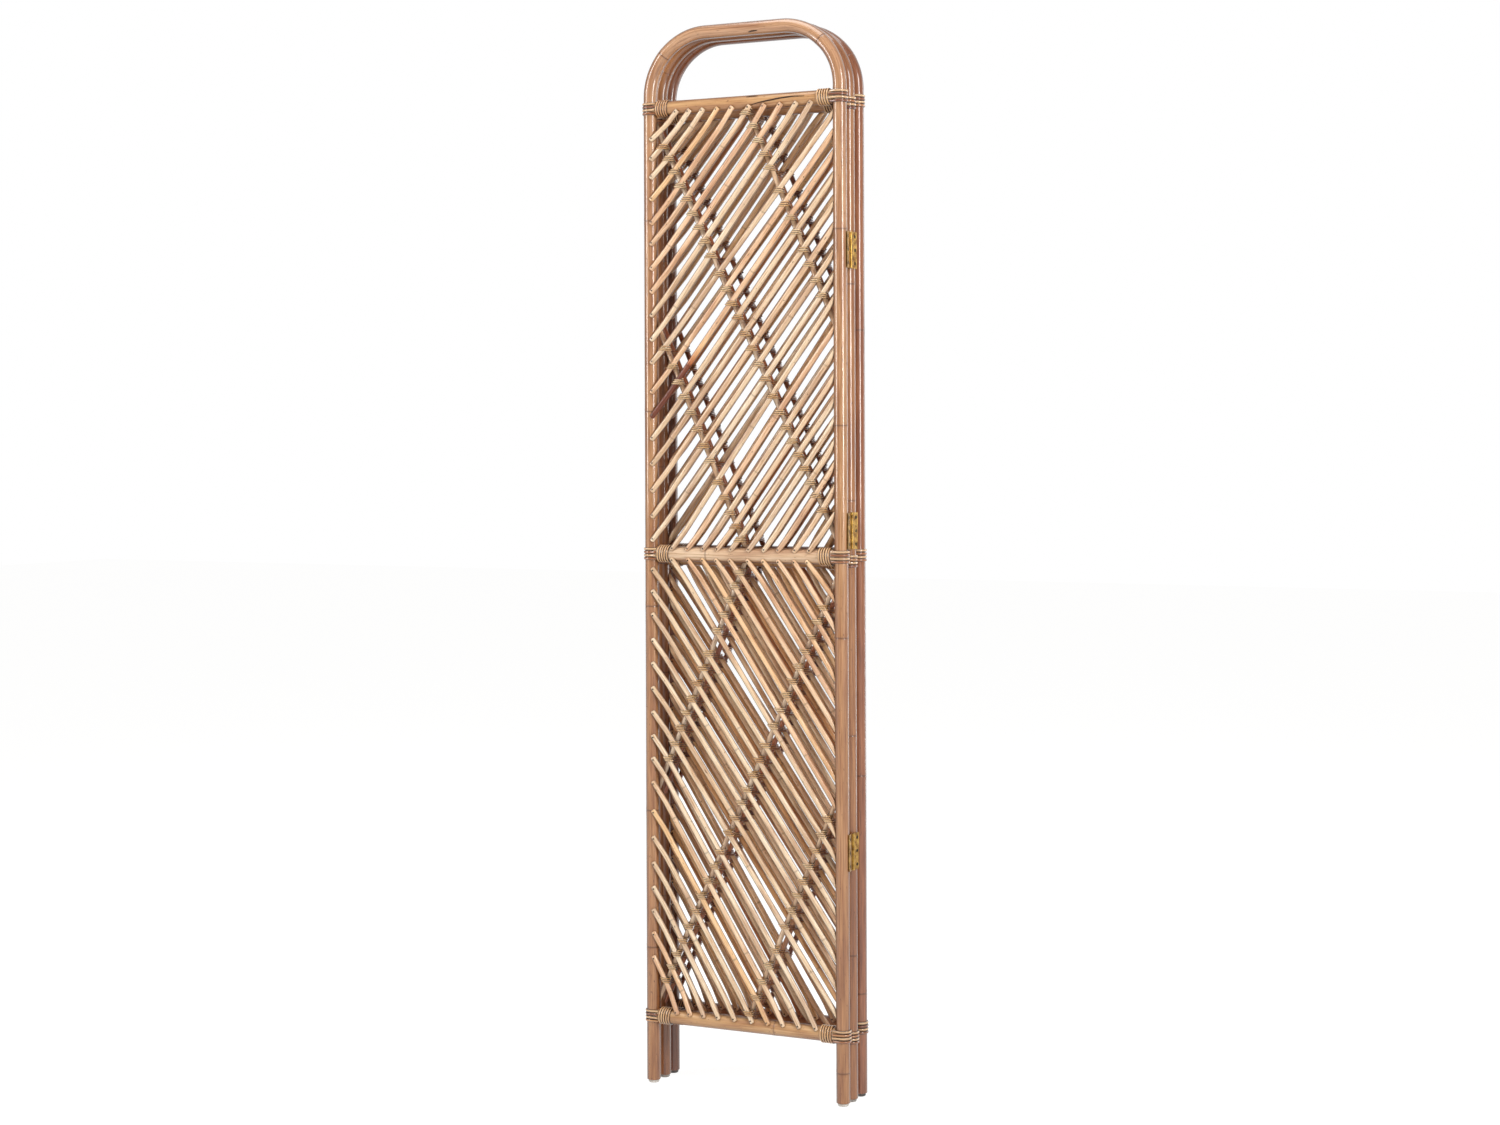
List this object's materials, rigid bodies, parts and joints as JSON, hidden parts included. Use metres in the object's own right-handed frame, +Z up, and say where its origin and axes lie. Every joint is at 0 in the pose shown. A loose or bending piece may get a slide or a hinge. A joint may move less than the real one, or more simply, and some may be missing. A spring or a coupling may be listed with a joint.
{
  "type": "partition screen",
  "caption": "Folding screen of bent rattan panels filled with slanting sticks, bound with peel and joined by brass butt hinges, shown folded flat.",
  "frame": {"origin": "on the floor, below the middle of the folded screen", "axes": "+X along the middle panel, -Y to the front, +Z up"},
  "size_m": [0.3792, 0.1054, 1.78],
  "materials": {
    "pole_rattan": "lacquered rattan cane, mid tan",
    "stick_rattan": "lacquered peeled rattan, pale tan",
    "rod_rattan": "lacquered peeled rattan, tan",
    "binding_peel": "glossy rattan peel",
    "lashing_peel": "glossy rattan peel",
    "nail_steel": "dark round brads",
    "hinge_brass": "bright pressed brass",
    "pin_brass": "bright brass rod",
    "screw_brass": "dull brass screws",
    "pale_glide_plastic": "moulded, off-white",
    "grey_glide_plastic": "moulded, grey",
    "dark_glide_plastic": "moulded, black"
  },
  "bodies": {
    "middle_panel": {"middle_pole": "pole_rattan", "middle_top_bar": "pole_rattan", "middle_middle_bar": "pole_rattan", "middle_bottom_bar": "pole_rattan", "middle_upper_sticks": "stick_rattan", "middle_lower_sticks": "stick_rattan", "middle_upper_rods": "rod_rattan", "middle_lower_rods": "rod_rattan", "middle_joint_wraps": "binding_peel", "middle_lashings": "lashing_peel", "middle_nails": "nail_steel", "middle_glides": "grey_glide_plastic", "right_top_hinge_middle_leaf": "hinge_brass", "right_top_hinge_pin": "pin_brass", "right_middle_hinge_middle_leaf": "hinge_brass", "right_middle_hinge_pin": "pin_brass", "right_bottom_hinge_middle_leaf": "hinge_brass", "right_bottom_hinge_pin": "pin_brass", "middle_right_screws": "screw_brass", "left_top_hinge_middle_leaf": "hinge_brass", "left_top_hinge_pin": "pin_brass", "left_middle_hinge_middle_leaf": "hinge_brass", "left_middle_hinge_pin": "pin_brass", "left_bottom_hinge_middle_leaf": "hinge_brass", "left_bottom_hinge_pin": "pin_brass", "middle_left_screws": "screw_brass"},
    "front_panel": {"front_pole": "pole_rattan", "front_top_bar": "pole_rattan", "front_middle_bar": "pole_rattan", "front_bottom_bar": "pole_rattan", "front_upper_sticks": "stick_rattan", "front_lower_sticks": "stick_rattan", "front_upper_rods": "rod_rattan", "front_lower_rods": "rod_rattan", "front_joint_wraps": "binding_peel", "front_lashings": "lashing_peel", "front_nails": "nail_steel", "front_glides": "pale_glide_plastic", "right_top_hinge_front_leaf": "hinge_brass", "right_middle_hinge_front_leaf": "hinge_brass", "right_bottom_hinge_front_leaf": "hinge_brass", "front_screws": "screw_brass"},
    "back_panel": {"back_pole": "pole_rattan", "back_top_bar": "pole_rattan", "back_middle_bar": "pole_rattan", "back_bottom_bar": "pole_rattan", "back_upper_sticks": "stick_rattan", "back_lower_sticks": "stick_rattan", "back_upper_rods": "rod_rattan", "back_lower_rods": "rod_rattan", "back_joint_wraps": "binding_peel", "back_lashings": "lashing_peel", "back_nails": "nail_steel", "back_glides": "dark_glide_plastic", "left_top_hinge_back_leaf": "hinge_brass", "left_middle_hinge_back_leaf": "hinge_brass", "left_bottom_hinge_back_leaf": "hinge_brass", "back_screws": "screw_brass"}
  },
  "joints": [
    {"name": "front_fold", "type": "hinge", "parent": "middle_panel", "child": "front_panel", "pos_m": [0.18671, -0.0155, 0], "axis": [0, 0, 1], "range_deg": [-0.5, 162]},
    {"name": "back_fold", "type": "hinge", "parent": "middle_panel", "child": "back_panel", "pos_m": [-0.18671, 0.0155, 0], "axis": [0, 0, 1], "range_deg": [-0.5, 162]}
  ]
}
